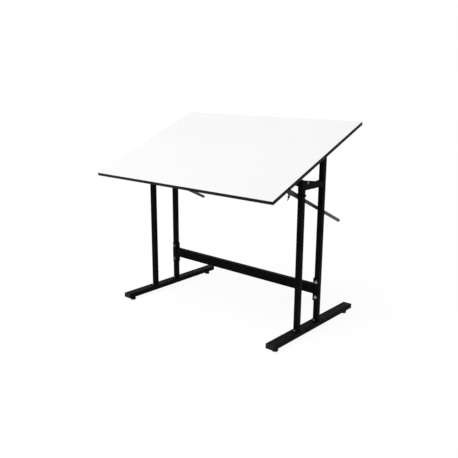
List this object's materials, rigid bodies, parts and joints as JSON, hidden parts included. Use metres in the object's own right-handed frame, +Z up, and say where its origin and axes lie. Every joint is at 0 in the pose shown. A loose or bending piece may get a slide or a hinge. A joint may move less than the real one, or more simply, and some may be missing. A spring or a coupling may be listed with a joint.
{
  "type": "drafting table",
  "caption": "Drafting table with a white worktop that tilts on two side frames and is held by rods sliding in clamping sleeves.",
  "frame": {"origin": "on the floor under the middle of the table's footprint", "axes": "+X to the user's right along the worktop's width, +Y to the rear, +Z up"},
  "size_m": [1.2, 0.8436, 1.0649],
  "materials": {
    "black_paint": "satin powder coat",
    "black_plastic": "moulded, fine texture",
    "edge_band": "smooth edge band",
    "white_laminate": "satin melamine",
    "chipboard": "pressed wood chips",
    "zinc": "zinc plated",
    "dark_zinc": "dark plated",
    "rod_grey": "drawn steel, dark grey"
  },
  "bodies": {
    "frame": {"foot_bar_left": "black_paint", "foot_bar_right": "black_paint", "foot_cap_left_front": "black_plastic", "foot_cap_left_rear": "black_plastic", "foot_cap_right_front": "black_plastic", "foot_cap_right_rear": "black_plastic", "leveller_nuts": "zinc", "post_spigots": "black_paint", "base_screws": "zinc", "front_post_left": "black_paint", "front_post_right": "black_paint", "rear_post_left": "black_paint", "rear_post_right": "black_paint", "post_caps": "black_plastic", "arm_left": "black_paint", "arm_right": "black_paint", "top_rail": "black_paint", "arm_bolts": "zinc", "arm_nuts": "zinc", "lower_beam": "black_paint", "beam_bracket_left": "black_paint", "beam_bracket_right": "black_paint", "beam_bolts": "zinc", "beam_nuts": "zinc", "pivot_bushes": "black_plastic", "swivel_bushes": "black_plastic"},
    "board": {"board_core": "chipboard", "worktop_laminate": "white_laminate", "backing_laminate": "white_laminate", "edge_bands_long": "edge_band", "edge_bands_short": "edge_band", "board_rail_left": "black_paint", "board_rail_right": "black_paint", "board_screws": "zinc", "hinge_bracket_left": "black_paint", "hinge_bracket_right": "black_paint", "pivot_bolts": "zinc", "pivot_nuts": "zinc", "strut_bracket_left": "black_paint", "strut_bracket_right": "black_paint", "strut_pins": "zinc", "strut_nuts": "zinc"},
    "sleeve_left": {"sleeve_left": "rod_grey", "swivel_nut_left": "black_paint"},
    "rod_left": {"rod_left": "rod_grey", "rod_eye_left": "rod_grey", "rod_cap_left": "rod_grey", "stop_collar_left": "zinc"},
    "wing_left": {"wing_screw_left": "dark_zinc"},
    "foot_left_front": {"leveller_left_front": "black_plastic"},
    "foot_left_rear": {"leveller_left_rear": "black_plastic"},
    "sleeve_right": {"sleeve_right": "rod_grey", "swivel_nut_right": "black_paint"},
    "rod_right": {"rod_right": "rod_grey", "rod_eye_right": "rod_grey", "rod_cap_right": "rod_grey", "stop_collar_right": "zinc"},
    "wing_right": {"wing_screw_right": "dark_zinc"},
    "foot_right_front": {"leveller_right_front": "black_plastic"},
    "foot_right_rear": {"leveller_right_rear": "black_plastic"}
  },
  "joints": [
    {"name": "board_tilt", "type": "hinge", "parent": "frame", "child": "board", "pos_m": [0, 0.095, 0.92], "axis": [1, 0, 0], "range_deg": [-22, 5]},
    {"name": "sleeve_left_swivel", "type": "hinge", "parent": "frame", "child": "sleeve_left", "pos_m": [-0.494, -0.084, 0.7355], "axis": [1, 0, 0], "range_deg": [-26.4, 6]},
    {"name": "rod_left_slide", "type": "slide", "parent": "sleeve_left", "child": "rod_left", "axis": [0, 0.9054, -0.4245], "range_m": [-0.0956, 0.0218]},
    {"name": "wing_left_turn", "type": "hinge", "parent": "sleeve_left", "child": "wing_left", "pos_m": [-0.494, -0.14048, 0.75402], "axis": [0, -0.4245, -0.9054], "range_deg": [0, 180]},
    {"name": "foot_left_front_height", "type": "slide", "parent": "frame", "child": "foot_left_front", "axis": [0, 0, -1], "range_m": [0, 0.01]},
    {"name": "foot_left_rear_height", "type": "slide", "parent": "frame", "child": "foot_left_rear", "axis": [0, 0, -1], "range_m": [0, 0.01]},
    {"name": "sleeve_right_swivel", "type": "hinge", "parent": "frame", "child": "sleeve_right", "pos_m": [0.494, -0.084, 0.7355], "axis": [1, 0, 0], "range_deg": [-26.4, 6]},
    {"name": "rod_right_slide", "type": "slide", "parent": "sleeve_right", "child": "rod_right", "axis": [0, 0.9054, -0.4245], "range_m": [-0.0956, 0.0218]},
    {"name": "wing_right_turn", "type": "hinge", "parent": "sleeve_right", "child": "wing_right", "pos_m": [0.494, -0.14048, 0.75402], "axis": [0, -0.4245, -0.9054], "range_deg": [0, 180]},
    {"name": "foot_right_front_height", "type": "slide", "parent": "frame", "child": "foot_right_front", "axis": [0, 0, -1], "range_m": [0, 0.01]},
    {"name": "foot_right_rear_height", "type": "slide", "parent": "frame", "child": "foot_right_rear", "axis": [0, 0, -1], "range_m": [0, 0.01]}
  ],
  "couplings": [
    {"joint": "sleeve_left_swivel", "follows": "board_tilt", "ratio": 1.195},
    {"joint": "rod_left_slide", "follows": "board_tilt", "m_per_rad": 0.24866},
    {"joint": "sleeve_right_swivel", "follows": "board_tilt", "ratio": 1.195},
    {"joint": "rod_right_slide", "follows": "board_tilt", "m_per_rad": 0.24866}
  ]
}
